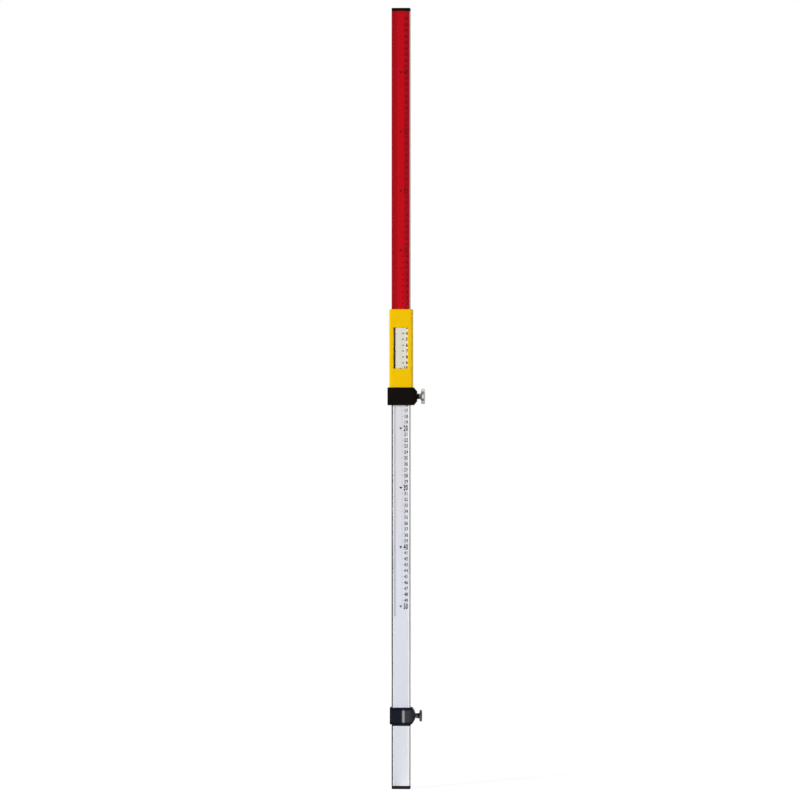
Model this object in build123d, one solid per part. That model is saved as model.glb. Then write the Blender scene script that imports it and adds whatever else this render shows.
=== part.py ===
from build123d import *
import math
import os

# Telescopic levelling staff: a graduated bar on an extending foot, with a clamped reading slide.
# Millimetres. The origin is the centre of the foot's sole and +Z runs up the staff.
# -Y is the graduated front and +X is the side of the two clamp knobs.

# Extrusion shared by the graduated bar and the foot shoe
BAR_WIDTH = 31.6
BAR_DEPTH = 20.0
BAR_WALL = 1.8
BAR_CORNER = 2.0
BORE_CORNER = 0.8
RIB_WIDTH = 1.9
BAR_LENGTH = 1202.5
SHOE_LENGTH = 101.0

# Clearances: fixed pieces, sliding pieces, a clamp pad on its seat, and two ends that meet
FIT_GAP = 0.05
RUN_GAP = 0.25
CLAMP_GAP = 0.04
END_GAP = 0.1

# End caps of the bar and the shoe
CAP_INSET = 0.15
CAP_FLANGE = 5.5
CAP_PLUG = 12.0
CAP_PLUG_WALL = 2.0
CAP_EDGE = 0.8

# Telescoping rod, its guides and the packing that carries the shoe
HEAD_GAP = 28.0
BUSH_LIP = 2.4
BUSH_LENGTH = 60.0
BUSH_WALL = 1.4
ROD_WALL = 1.5
ROD_CORNER = 1.2
ROD_BORE_CORNER = 0.6
GUIDE_HEIGHT = 18.0
GUIDE_PLUG = 16.0
GUIDE_EDGE = 0.8
PACKING_INSET = 1.0
GUIDE_PIN_RADIUS = 1.5
RIVET_RADIUS = 2.0
RIVET_HEAD_RADIUS = 3.6
RIVET_HEAD_HEIGHT = 1.1
RIVET_HEAD_RIM = 0.25
RIVET_TAIL_RADIUS = 2.9
RIVET_TAIL_LENGTH = 2.2
RIVET_END_DISTANCE = 28.0

# Scale strips, reading from zero at the joint of the two colours
SCALE_RANGE = 500.0
SCALE_END_MARGIN = 2.5
STRIP_THICKNESS = 0.4
STRIP_RECESS = 0.25
STRIP_SIDE_GAP = 0.1
RED_LAP_MARGIN = 0.05
RED_LAP_THICKNESS = 0.12

# Reading slide: sleeve, window and glides
SLEEVE_ABOVE_COLLAR = 131.8
SLEEVE_SIDE_WALL = 3.7
SLEEVE_FACE_WALL = 3.2
SLEEVE_CORNER = 3.0
SLEEVE_EDGE = 0.9
WINDOW_SIDE_MARGIN = 0.1
WINDOW_HEAD_BELOW_TOP = 31.0
WINDOW_SILL_BELOW_TOP = 100.0
WINDOW_CORNER = 0.8
WINDOW_BEVEL = 0.7
GLIDE_HEIGHT = 14.0
GLIDE_SIDE_GAP = 0.8
GLIDE_GAP = 0.1
GLIDE_PEG_RADIUS = 2.5
GLIDE_PEG_RECESS = 0.3
GLIDE_END_DISTANCE = 12.0

# Clamp collars
UPPER_COLLAR_HEIGHT = 30.2
UPPER_COLLAR_WALL = 2.7
UPPER_COLLAR_SILL = 2.4
UPPER_BOSS = 4.25
UPPER_BOSS_SLOPE = 7.0
UPPER_BOSS_SETBACK = 1.5
UPPER_SHOULDER_WIDTH = 2.5
UPPER_SHOULDER_DEPTH = 5.0
UPPER_CORNER = 3.5
UPPER_EDGE = 0.8
LOWER_COLLAR_HEIGHT = 28.6
LOWER_SIDE_WALL = 2.95
LOWER_BACK_WALL = 2.8
LOWER_FRONT_WALL = 5.5
LOWER_FACE_FALL = 4.5
LOWER_BOSS = 5.2
LOWER_BOSS_INSET = 1.0
LOWER_ARC_INSET = 0.9
LOWER_RIDGE_OFFSET = 4.4
LOWER_RIDGE_RADIUS = 12.0
LOWER_EDGE = 0.8

# Clamp screws: stud, pad, threaded insert and one turn of release
STUD_RADIUS = 3.0
STUD_SHOULDER = 1.0
STUD_POINT_LENGTH = 1.3
STUD_IN_KNOB = 6.0
STUD_PITCH = 1.0
RELEASE_TURNS = 1.0
PAD_RIM = 1.0
PAD_THICKNESS = 2.4
PAD_EDGE = 0.3
INSERT_WALL = 1.2
KNOB_STANDOFF = 0.4

# Knobs
UPPER_KNOB_RADIUS = 12.9
UPPER_KNOB_THICKNESS = 5.6
UPPER_HUB_LENGTH = 7.15
UPPER_HUB_WALL = 1.6
UPPER_HUB_FLARE = 1.2
LOWER_KNOB_RADIUS = 9.9
LOWER_KNOB_THICKNESS = 4.1
LOWER_HUB_LENGTH = 6.6
LOWER_HUB_WALL = 1.3
LOWER_HUB_FLARE = 0.4
KNURL_DEPTH = 0.45
KNURL_PITCH = 1.9
KNOB_EDGE = 0.7
KNOB_DISH_DEPTH = 0.6
KNOB_DISH_MARGIN = 2.2

# Small screws that hold the collars
SCREW_RADIUS = 1.45
SCREW_HOLE_RADIUS = 1.5
SCREW_HEAD_RADIUS = 2.8
SCREW_HEAD_HEIGHT = 1.6
SCREW_HEAD_SINK = 1.0
SCREW_HEAD_GAP = 0.2
SCREW_HEAD_EDGE = 0.5
SCREW_SPACING = 18.0
SCREW_TIP_GAP = 0.3
SCREW_RECESS_LENGTH = 3.0
SCREW_RECESS_WIDTH = 0.7
SCREW_RECESS_DEPTH = 0.9

# Derived section sizes
GROOVE_WIDTH = BAR_WIDTH - 2 * (BAR_CORNER + RIB_WIDTH)
GROOVE_DEPTH = FIT_GAP + STRIP_THICKNESS + STRIP_RECESS
BORE_WIDTH = BAR_WIDTH - 2 * BAR_WALL
BORE_DEPTH = BAR_DEPTH - 2 * BAR_WALL
CAP_WIDTH = BAR_WIDTH - 2 * CAP_INSET
CAP_DEPTH = BAR_DEPTH - 2 * CAP_INSET
PLUG_WIDTH = BORE_WIDTH - 2 * FIT_GAP
PLUG_DEPTH = BORE_DEPTH - 2 * FIT_GAP
ROD_WIDTH = PLUG_WIDTH - 2 * (BUSH_WALL + RUN_GAP)
ROD_DEPTH = PLUG_DEPTH - 2 * (BUSH_WALL + RUN_GAP)
ROD_BORE_WIDTH = ROD_WIDTH - 2 * ROD_WALL
ROD_BORE_DEPTH = ROD_DEPTH - 2 * ROD_WALL
GROOVE_FLOOR = BAR_DEPTH / 2 - GROOVE_DEPTH
RED_LAP_WIDTH = BAR_WIDTH - 2 * (BAR_CORNER + RED_LAP_MARGIN)
SLEEVE_FACE_GAP = FIT_GAP + RED_LAP_THICKNESS + RUN_GAP
SLEEVE_BORE_WIDTH = BAR_WIDTH + 2 * RUN_GAP
SLEEVE_BORE_DEPTH = BAR_DEPTH + 2 * SLEEVE_FACE_GAP
SLEEVE_WIDTH = SLEEVE_BORE_WIDTH + 2 * SLEEVE_SIDE_WALL
SLEEVE_DEPTH = SLEEVE_BORE_DEPTH + 2 * SLEEVE_FACE_WALL
WINDOW_WIDTH = GROOVE_WIDTH + 2 * WINDOW_SIDE_MARGIN
WINDOW_HEIGHT = WINDOW_SILL_BELOW_TOP - WINDOW_HEAD_BELOW_TOP

# Derived levels, from the sole upwards
SHOE_BOTTOM = CAP_FLANGE
SHOE_TOP = SHOE_BOTTOM + SHOE_LENGTH
BUSH_BOTTOM = SHOE_TOP + END_GAP
BAR_BOTTOM = BUSH_BOTTOM + BUSH_LIP
BAR_TOP = BAR_BOTTOM + BAR_LENGTH
BUSH_TOP = BAR_BOTTOM + BUSH_LENGTH
ROD_BOTTOM = SHOE_BOTTOM + CAP_PLUG + END_GAP
ROD_TOP = BAR_TOP - CAP_PLUG - HEAD_GAP - GUIDE_HEIGHT
LOWER_COLLAR_TOP = BAR_BOTTOM + LOWER_COLLAR_HEIGHT
LOWER_CLAMP_LEVEL = BAR_BOTTOM + LOWER_COLLAR_HEIGHT / 2
ZERO_LEVEL = BAR_TOP - SCALE_RANGE - SCALE_END_MARGIN
SLEEVE_TOP = ZERO_LEVEL
UPPER_COLLAR_TOP = SLEEVE_TOP - SLEEVE_ABOVE_COLLAR
UPPER_COLLAR_BOTTOM = UPPER_COLLAR_TOP - UPPER_COLLAR_HEIGHT
SLEEVE_BOTTOM = UPPER_COLLAR_BOTTOM + UPPER_COLLAR_SILL + FIT_GAP
UPPER_CLAMP_LEVEL = UPPER_COLLAR_BOTTOM + UPPER_COLLAR_HEIGHT / 2
RIVET_LEVELS = (SHOE_BOTTOM + RIVET_END_DISTANCE, SHOE_TOP - RIVET_END_DISTANCE)
GUIDE_PIN_LEVEL = ROD_TOP - GUIDE_PLUG / 2
GLIDE_LEVELS = (UPPER_COLLAR_TOP + GLIDE_END_DISTANCE, SLEEVE_TOP - GLIDE_END_DISTANCE)
RELEASE_TRAVEL = STUD_PITCH * RELEASE_TURNS

# Derived places across the clamps
UPPER_SIDE = SLEEVE_WIDTH / 2 + FIT_GAP + UPPER_COLLAR_WALL
UPPER_FACE = SLEEVE_DEPTH / 2 + FIT_GAP + UPPER_COLLAR_WALL
UPPER_BOSS_FACE = UPPER_SIDE + UPPER_BOSS
LOWER_SIDE = BAR_WIDTH / 2 + FIT_GAP + LOWER_SIDE_WALL
LOWER_BACK = BAR_DEPTH / 2 + FIT_GAP + LOWER_BACK_WALL
LOWER_FRONT = BAR_DEPTH / 2 + FIT_GAP + LOWER_FRONT_WALL
LOWER_BOSS_FACE = LOWER_SIDE + LOWER_BOSS
STUD_POINT_RADIUS = STUD_RADIUS - STUD_SHOULDER
PAD_RADIUS = STUD_RADIUS + PAD_RIM
PAD_HOLE_RADIUS = PAD_RADIUS + RUN_GAP
INSERT_RADIUS = STUD_RADIUS + INSERT_WALL


def pad_outer(seat):
    """Outer face of a pad that presses on a seat."""
    return seat + CLAMP_GAP + PAD_THICKNESS


def pocket_end(seat):
    """How far out the pad's pocket runs, with the pad released."""
    return pad_outer(seat) + RELEASE_TRAVEL + RUN_GAP


UPPER_SEAT = BAR_WIDTH / 2
LOWER_SEAT = ROD_WIDTH / 2
UPPER_INSERT_START = max(pocket_end(UPPER_SEAT), SLEEVE_WIDTH / 2 + FIT_GAP)
LOWER_INSERT_START = max(pocket_end(LOWER_SEAT), BAR_WIDTH / 2 + FIT_GAP)


# Shared shapes

def rounded_block(width, depth, corner, low, high):
    """Upright block of a rounded rectangle between two levels."""
    return Pos(0, 0, low) * extrude(RectangleRounded(width, depth, corner), amount=high - low)


def rod_x(radius, start, end, level):
    """Round rod along X between two places."""
    return Pos((start + end) / 2, 0, level) * Rot(0, 90, 0) * Cylinder(radius, end - start)


def rod_y(radius, start, end, across, level):
    """Round rod along Y between two places."""
    return Pos(across, (start + end) / 2, level) * Rot(90, 0, 0) * Cylinder(radius, end - start)


def turned_x(outline, level):
    """Body turned about a line along X, from its outline of place and radius."""
    face = make_face(Polyline(*outline, close=True))
    return Pos(0, 0, level) * revolve(Plane.XZ * face, axis=Axis.X)


def extrusion(low, high):
    """Length of the extrusion, with a strip groove on its front and back."""
    section = RectangleRounded(BAR_WIDTH, BAR_DEPTH, BAR_CORNER)
    section -= RectangleRounded(BORE_WIDTH, BORE_DEPTH, BORE_CORNER)
    for side in (-1, 1):
        middle = side * (BAR_DEPTH - GROOVE_DEPTH) / 2
        section -= Pos(0, middle) * Rectangle(GROOVE_WIDTH, GROOVE_DEPTH)
    return Pos(0, 0, low) * extrude(section, amount=high - low)


def screw_places(level):
    """Places across X of the two small screws at one level."""
    return [(-SCREW_SPACING / 2, level), (SCREW_SPACING / 2, level)]


# Foot: sole cap, shoe, packing, rivets and the telescoping rod

def end_cap():
    """Cap with its flange from level zero up and its hollow plug above."""
    flange = rounded_block(CAP_WIDTH, CAP_DEPTH, BAR_CORNER, 0, CAP_FLANGE)
    flange = fillet(flange.edges().group_by(Axis.Z)[0], CAP_EDGE)
    plug_top = CAP_FLANGE + CAP_PLUG
    plug = rounded_block(PLUG_WIDTH, PLUG_DEPTH, BORE_CORNER, CAP_FLANGE, plug_top)
    hollow_width = PLUG_WIDTH - 2 * CAP_PLUG_WALL
    hollow_depth = PLUG_DEPTH - 2 * CAP_PLUG_WALL
    plug -= rounded_block(hollow_width, hollow_depth, BORE_CORNER, CAP_FLANGE, plug_top)
    return flange + plug


def foot_shoe():
    shoe = extrusion(SHOE_BOTTOM, SHOE_TOP)
    for level in RIVET_LEVELS:
        shoe -= rod_y(RIVET_RADIUS + FIT_GAP, 0, BAR_DEPTH, 0, level)
    return shoe


def shoe_packing():
    low = ROD_BOTTOM
    high = SHOE_TOP - PACKING_INSET
    packing = rounded_block(PLUG_WIDTH, PLUG_DEPTH, BORE_CORNER, low, high)
    opening_width = ROD_WIDTH + 2 * FIT_GAP
    opening_depth = ROD_DEPTH + 2 * FIT_GAP
    packing -= rounded_block(opening_width, opening_depth, ROD_CORNER, low, high)
    for level in RIVET_LEVELS:
        packing -= rod_y(RIVET_RADIUS + FIT_GAP, 0, BAR_DEPTH, 0, level)
    return packing


def inner_rod():
    rod = rounded_block(ROD_WIDTH, ROD_DEPTH, ROD_CORNER, ROD_BOTTOM, ROD_TOP)
    rod -= rounded_block(ROD_BORE_WIDTH, ROD_BORE_DEPTH, ROD_BORE_CORNER, ROD_BOTTOM, ROD_TOP)
    for level in RIVET_LEVELS:
        rod -= rod_y(RIVET_RADIUS + FIT_GAP, 0, BAR_DEPTH, 0, level)
    rod -= rod_y(GUIDE_PIN_RADIUS + FIT_GAP, -ROD_DEPTH, ROD_DEPTH, 0, GUIDE_PIN_LEVEL)
    return rod


def shoe_rivet(level):
    """Blind rivet through the shoe, the packing and the rod's back wall."""
    inside = ROD_BORE_DEPTH / 2 - FIT_GAP
    head_face = GROOVE_FLOOR + FIT_GAP
    shank = rod_y(RIVET_RADIUS, inside, head_face, 0, level)
    tail = rod_y(RIVET_TAIL_RADIUS, inside - RIVET_TAIL_LENGTH, inside, 0, level)
    head = rod_y(RIVET_HEAD_RADIUS, head_face, head_face + RIVET_HEAD_HEIGHT, 0, level)
    head = fillet(head.edges().group_by(Axis.Y)[-1], RIVET_HEAD_HEIGHT - RIVET_HEAD_RIM)
    return shank + tail + head


def rod_guide():
    """Guide on the rod's top end: it runs in the bar's bore and stops at the bush."""
    block_width = BORE_WIDTH - 2 * RUN_GAP
    block_depth = BORE_DEPTH - 2 * RUN_GAP
    low = ROD_TOP + FIT_GAP
    block = rounded_block(block_width, block_depth, BORE_CORNER, low, low + GUIDE_HEIGHT)
    block = chamfer(block.edges().group_by(Axis.Z)[-1], GUIDE_EDGE)
    plug_width = ROD_BORE_WIDTH - 2 * FIT_GAP
    plug_depth = ROD_BORE_DEPTH - 2 * FIT_GAP
    plug = rounded_block(plug_width, plug_depth, ROD_BORE_CORNER, ROD_TOP - GUIDE_PLUG, low)
    guide = block + plug
    return guide - rod_y(GUIDE_PIN_RADIUS + FIT_GAP, -ROD_DEPTH, ROD_DEPTH, 0, GUIDE_PIN_LEVEL)


def guide_pin():
    half = ROD_DEPTH / 2 - FIT_GAP
    return rod_y(GUIDE_PIN_RADIUS, -half, half, 0, GUIDE_PIN_LEVEL)


# Graduated bar: extrusion, top cap, scale strips and the guide bush

def lower_screw_holes(start, end):
    """Holes of the lower collar's small screws between two depths."""
    holes = [rod_y(SCREW_HOLE_RADIUS, start, end, x, z) for x, z in screw_places(LOWER_CLAMP_LEVEL)]
    return holes[0] + holes[1]


def main_profile():
    bar = extrusion(BAR_BOTTOM, BAR_TOP)
    bar -= rod_x(PAD_HOLE_RADIUS, 0, BAR_WIDTH, LOWER_CLAMP_LEVEL)
    return bar - lower_screw_holes(0, BAR_DEPTH)


def top_cap():
    return Pos(0, 0, BAR_TOP + CAP_FLANGE) * Rot(180, 0, 0) * end_cap()


def guide_bush():
    """Bush in the bar's lower end, with a lip under the bar and a hole for the clamp pad."""
    bush = rounded_block(CAP_WIDTH, CAP_DEPTH, BAR_CORNER, BUSH_BOTTOM, BAR_BOTTOM)
    bush += rounded_block(PLUG_WIDTH, PLUG_DEPTH, BORE_CORNER, BAR_BOTTOM, BUSH_TOP)
    opening_width = ROD_WIDTH + 2 * RUN_GAP
    opening_depth = ROD_DEPTH + 2 * RUN_GAP
    bush -= rounded_block(opening_width, opening_depth, ROD_CORNER, BUSH_BOTTOM, BUSH_TOP)
    bush -= rod_x(PAD_HOLE_RADIUS, 0, BAR_WIDTH, LOWER_CLAMP_LEVEL)
    return bush - lower_screw_holes(0, BAR_DEPTH)


def red_scale_strip():
    """Upper strip, whose thin edges lap over the ribs beside the groove."""
    strip_back = GROOVE_FLOOR + FIT_GAP
    lap_back = BAR_DEPTH / 2 + FIT_GAP
    front = lap_back + RED_LAP_THICKNESS
    length = BAR_TOP - ZERO_LEVEL
    core = Box(GROOVE_WIDTH - 2 * STRIP_SIDE_GAP, front - strip_back, length)
    lap = Box(RED_LAP_WIDTH, RED_LAP_THICKNESS, length)
    level = (ZERO_LEVEL + BAR_TOP) / 2
    strip = Pos(0, -(strip_back + front) / 2, level) * core
    return strip + Pos(0, -(lap_back + front) / 2, level) * lap


def silver_scale_strip():
    """Lower strip, sunk in the groove between the two ribs."""
    low = LOWER_COLLAR_TOP + END_GAP
    high = ZERO_LEVEL - END_GAP
    middle = -(GROOVE_FLOOR + FIT_GAP + STRIP_THICKNESS / 2)
    strip = Box(GROOVE_WIDTH - 2 * STRIP_SIDE_GAP, STRIP_THICKNESS, high - low)
    return Pos(0, middle, (low + high) / 2) * strip


# Small screw shared by both collars, with its head sunk in the collar's back

def small_screw(face, tip, across, level):
    head_face = face - SCREW_HEAD_SINK
    head_end = head_face + SCREW_HEAD_HEIGHT
    head = rod_y(SCREW_HEAD_RADIUS, head_face, head_end, across, level)
    head = fillet(head.edges().group_by(Axis.Y)[-1], SCREW_HEAD_EDGE)
    recess_middle = head_end - SCREW_RECESS_DEPTH / 2
    for size in ((SCREW_RECESS_LENGTH, SCREW_RECESS_WIDTH), (SCREW_RECESS_WIDTH, SCREW_RECESS_LENGTH)):
        head -= Pos(across, recess_middle, level) * Box(size[0], SCREW_RECESS_DEPTH, size[1])
    return head + rod_y(SCREW_RADIUS, tip, head_face, across, level)


def sunk_screw_hole(face, across, level):
    """Hole in a collar's back wall, with the recess for the screw's head."""
    shank = rod_y(SCREW_HOLE_RADIUS, 0, face, across, level)
    head = rod_y(SCREW_HEAD_RADIUS + SCREW_HEAD_GAP, face - SCREW_HEAD_SINK, 2 * face, across, level)
    return shank + head


# Lower clamp: collar on the bar's end, with a slanted face, a ridge down its front and a round boss

def lower_collar():
    boss_half = BAR_DEPTH / 2 - LOWER_BOSS_INSET
    ridge_corner = (LOWER_RIDGE_OFFSET, -LOWER_FRONT)
    plan = Polyline(
        (-LOWER_SIDE, LOWER_BACK),
        (-LOWER_SIDE, -LOWER_FRONT + LOWER_FACE_FALL),
        ridge_corner,
        (LOWER_BOSS_FACE, -boss_half),
        (LOWER_BOSS_FACE, boss_half),
        (LOWER_SIDE - LOWER_BOSS_INSET, LOWER_BACK),
        close=True,
    )
    plan_face = make_face(plan)
    ridge = plan_face.vertices().sort_by_distance(ridge_corner)[0]
    plan_face = fillet(ridge, LOWER_RIDGE_RADIUS)
    body = Pos(0, 0, BAR_BOTTOM) * extrude(plan_face, amount=LOWER_COLLAR_HEIGHT)
    low = BAR_BOTTOM
    high = LOWER_COLLAR_TOP
    arc_end = LOWER_SIDE - LOWER_ARC_INSET
    outline = Polyline((arc_end, high), (-LOWER_SIDE, high), (-LOWER_SIDE, low), (arc_end, low))
    outline += ThreePointArc((arc_end, low), (LOWER_BOSS_FACE, LOWER_CLAMP_LEVEL), (arc_end, high))
    elevation = extrude(Plane.XZ * make_face(outline), amount=2 * LOWER_FRONT, both=True)
    body = body & elevation
    body = fillet(body.edges(), LOWER_EDGE)
    bore_width = BAR_WIDTH + 2 * FIT_GAP
    bore_depth = BAR_DEPTH + 2 * FIT_GAP
    body -= rounded_block(bore_width, bore_depth, BAR_CORNER, low, high)
    body -= rod_x(PAD_HOLE_RADIUS, 0, LOWER_INSERT_START, LOWER_CLAMP_LEVEL)
    body -= rod_x(INSERT_RADIUS + FIT_GAP, LOWER_INSERT_START, 2 * LOWER_BOSS_FACE, LOWER_CLAMP_LEVEL)
    for across, level in screw_places(LOWER_CLAMP_LEVEL):
        body -= sunk_screw_hole(LOWER_BACK, across, level)
    return body


def lower_collar_screws():
    tip = ROD_DEPTH / 2 + RUN_GAP + SCREW_TIP_GAP
    screws = [small_screw(LOWER_BACK, tip, x, z) for x, z in screw_places(LOWER_CLAMP_LEVEL)]
    return screws[0] + screws[1]


# Reading slide: sleeve with its window, glides and the upper collar

def sliding_sleeve():
    sleeve = rounded_block(SLEEVE_WIDTH, SLEEVE_DEPTH, SLEEVE_CORNER, SLEEVE_BOTTOM, SLEEVE_TOP)
    sleeve = fillet(sleeve.edges().group_by(Axis.Z)[-1], SLEEVE_EDGE)
    sleeve -= rounded_block(SLEEVE_BORE_WIDTH, SLEEVE_BORE_DEPTH, BAR_CORNER, SLEEVE_BOTTOM, SLEEVE_TOP)
    window_level = SLEEVE_TOP - WINDOW_SILL_BELOW_TOP + WINDOW_HEIGHT / 2
    front = -SLEEVE_DEPTH / 2
    opening = RectangleRounded(WINDOW_WIDTH, WINDOW_HEIGHT, WINDOW_CORNER)
    hole = extrude(Plane.XZ * opening, amount=SLEEVE_DEPTH / 2)
    sleeve -= Pos(0, 0, window_level) * hole
    wide = RectangleRounded(WINDOW_WIDTH + 2 * WINDOW_BEVEL, WINDOW_HEIGHT + 2 * WINDOW_BEVEL,
                            WINDOW_CORNER + WINDOW_BEVEL)
    front_plane = Plane.XZ.offset(-front)
    deep_plane = Plane.XZ.offset(-front - WINDOW_BEVEL)
    sleeve -= Pos(0, 0, window_level) * loft([front_plane * wide, deep_plane * opening])
    sleeve -= rod_x(PAD_HOLE_RADIUS, 0, SLEEVE_WIDTH, UPPER_CLAMP_LEVEL)
    for across, level in screw_places(UPPER_CLAMP_LEVEL):
        sleeve -= rod_y(SCREW_HOLE_RADIUS, 0, SLEEVE_DEPTH, across, level)
    for level in GLIDE_LEVELS:
        sleeve -= rod_y(GLIDE_PEG_RADIUS + FIT_GAP, 0, SLEEVE_DEPTH, 0, level)
    return sleeve


def sleeve_glide(level):
    """Glide that runs in the bar's rear groove, pegged into the sleeve's back wall."""
    running_face = GROOVE_FLOOR + GLIDE_GAP
    back_face = SLEEVE_BORE_DEPTH / 2 - FIT_GAP
    width = GROOVE_WIDTH - 2 * GLIDE_SIDE_GAP
    block = Box(width, back_face - running_face, GLIDE_HEIGHT)
    glide = Pos(0, (running_face + back_face) / 2, level) * block
    peg_end = SLEEVE_DEPTH / 2 - GLIDE_PEG_RECESS
    return glide + rod_y(GLIDE_PEG_RADIUS, back_face, peg_end, 0, level)


def upper_collar():
    shoulder = UPPER_SIDE - UPPER_SHOULDER_WIDTH
    boss_half = UPPER_FACE - UPPER_SHOULDER_DEPTH
    plan = Polyline(
        (-UPPER_SIDE, UPPER_FACE),
        (-UPPER_SIDE, -UPPER_FACE),
        (shoulder, -UPPER_FACE),
        (UPPER_BOSS_FACE, -boss_half),
        (UPPER_BOSS_FACE, boss_half),
        (shoulder, UPPER_FACE),
        close=True,
    )
    plan_face = make_face(plan)
    plan_face = fillet(plan_face.vertices(), UPPER_CORNER)
    body = Pos(0, 0, UPPER_COLLAR_BOTTOM) * extrude(plan_face, amount=UPPER_COLLAR_HEIGHT)
    low = UPPER_COLLAR_BOTTOM
    high = UPPER_COLLAR_TOP
    slope_start = UPPER_SIDE - UPPER_BOSS_SETBACK
    outline = Polyline(
        (-UPPER_SIDE, low),
        (slope_start, low),
        (UPPER_BOSS_FACE, low + UPPER_BOSS_SLOPE),
        (UPPER_BOSS_FACE, high - UPPER_BOSS_SLOPE),
        (slope_start, high),
        (-UPPER_SIDE, high),
        close=True,
    )
    elevation = extrude(Plane.XZ * make_face(outline), amount=2 * UPPER_FACE, both=True)
    body = body & elevation
    body = fillet(body.edges(), UPPER_EDGE)
    seat_width = SLEEVE_WIDTH + 2 * FIT_GAP
    seat_depth = SLEEVE_DEPTH + 2 * FIT_GAP
    body -= rounded_block(seat_width, seat_depth, SLEEVE_CORNER, low + UPPER_COLLAR_SILL, high)
    body -= rounded_block(SLEEVE_BORE_WIDTH, SLEEVE_BORE_DEPTH, BAR_CORNER, low, high)
    body -= rod_x(PAD_HOLE_RADIUS, 0, UPPER_INSERT_START, UPPER_CLAMP_LEVEL)
    body -= rod_x(INSERT_RADIUS + FIT_GAP, UPPER_INSERT_START, 2 * UPPER_BOSS_FACE, UPPER_CLAMP_LEVEL)
    for across, level in screw_places(UPPER_CLAMP_LEVEL):
        body -= sunk_screw_hole(UPPER_FACE, across, level)
    return body


def upper_collar_screws():
    tip = SLEEVE_BORE_DEPTH / 2 + SCREW_TIP_GAP
    screws = [small_screw(UPPER_FACE, tip, x, z) for x, z in screw_places(UPPER_CLAMP_LEVEL)]
    return screws[0] + screws[1]


# Clamp screw pieces, the same for both clamps

def thread_insert(start, face, level):
    """Brass insert in a collar's boss."""
    insert = rod_x(INSERT_RADIUS, start + FIT_GAP, face, level)
    return insert - rod_x(STUD_RADIUS + FIT_GAP, 0, 2 * face, level)


def clamp_pad(seat, level):
    """Pad on the stud's point, with a socket that turns on it."""
    start = seat + CLAMP_GAP
    end = pad_outer(seat)
    pad = rod_x(PAD_RADIUS, start, end, level)
    pad = chamfer(pad.edges().filter_by(GeomType.CIRCLE), PAD_EDGE)
    socket_end = end - STUD_POINT_LENGTH
    return pad - rod_x(STUD_POINT_RADIUS + FIT_GAP, socket_end, 2 * end, level)


def clamp_stud(seat, boss_face, level):
    shoulder = pad_outer(seat) + FIT_GAP
    end = boss_face + KNOB_STANDOFF + STUD_IN_KNOB
    stud = rod_x(STUD_RADIUS, shoulder, end, level)
    return stud + rod_x(STUD_POINT_RADIUS, shoulder - STUD_POINT_LENGTH, shoulder, level)


def clamp_knob(boss_face, level, hub, disc):
    """Knurled knob: hub is its length, wall and flare, disc its radius and thickness."""
    hub_length, hub_wall, hub_flare = hub
    hub_radius = STUD_RADIUS + hub_wall
    radius, thickness = disc
    start = boss_face + KNOB_STANDOFF
    rim = start + hub_length
    end = rim + thickness
    dish = radius - KNOB_DISH_MARGIN
    body = turned_x(
        [
            (start, 0),
            (start, hub_radius),
            (rim, hub_radius + hub_flare),
            (rim, radius - KNOB_EDGE),
            (rim + KNOB_EDGE, radius),
            (end - KNOB_EDGE, radius),
            (end, radius - KNOB_EDGE),
            (end, dish),
            (end - KNOB_DISH_DEPTH, dish - KNOB_DISH_DEPTH),
            (end - KNOB_DISH_DEPTH, 0),
        ],
        level,
    )
    count = round(2 * math.pi * radius / KNURL_PITCH)
    teeth = []
    for step in range(2 * count):
        reach = radius if step % 2 == 0 else radius - KNURL_DEPTH
        angle = math.pi * step / count
        teeth.append((reach * math.cos(angle), reach * math.sin(angle)))
    toothed = make_face(Polyline(*teeth, close=True))
    rim_block = extrude(Plane.YZ.offset(start) * toothed, amount=end - start)
    body = body & Pos(0, 0, level) * rim_block
    return body - rod_x(STUD_RADIUS + FIT_GAP, 0, start + STUD_IN_KNOB + FIT_GAP, level)


UPPER_HUB = (UPPER_HUB_LENGTH, UPPER_HUB_WALL, UPPER_HUB_FLARE)
UPPER_DISC = (UPPER_KNOB_RADIUS, UPPER_KNOB_THICKNESS)
LOWER_HUB = (LOWER_HUB_LENGTH, LOWER_HUB_WALL, LOWER_HUB_FLARE)
LOWER_DISC = (LOWER_KNOB_RADIUS, LOWER_KNOB_THICKNESS)

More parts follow.
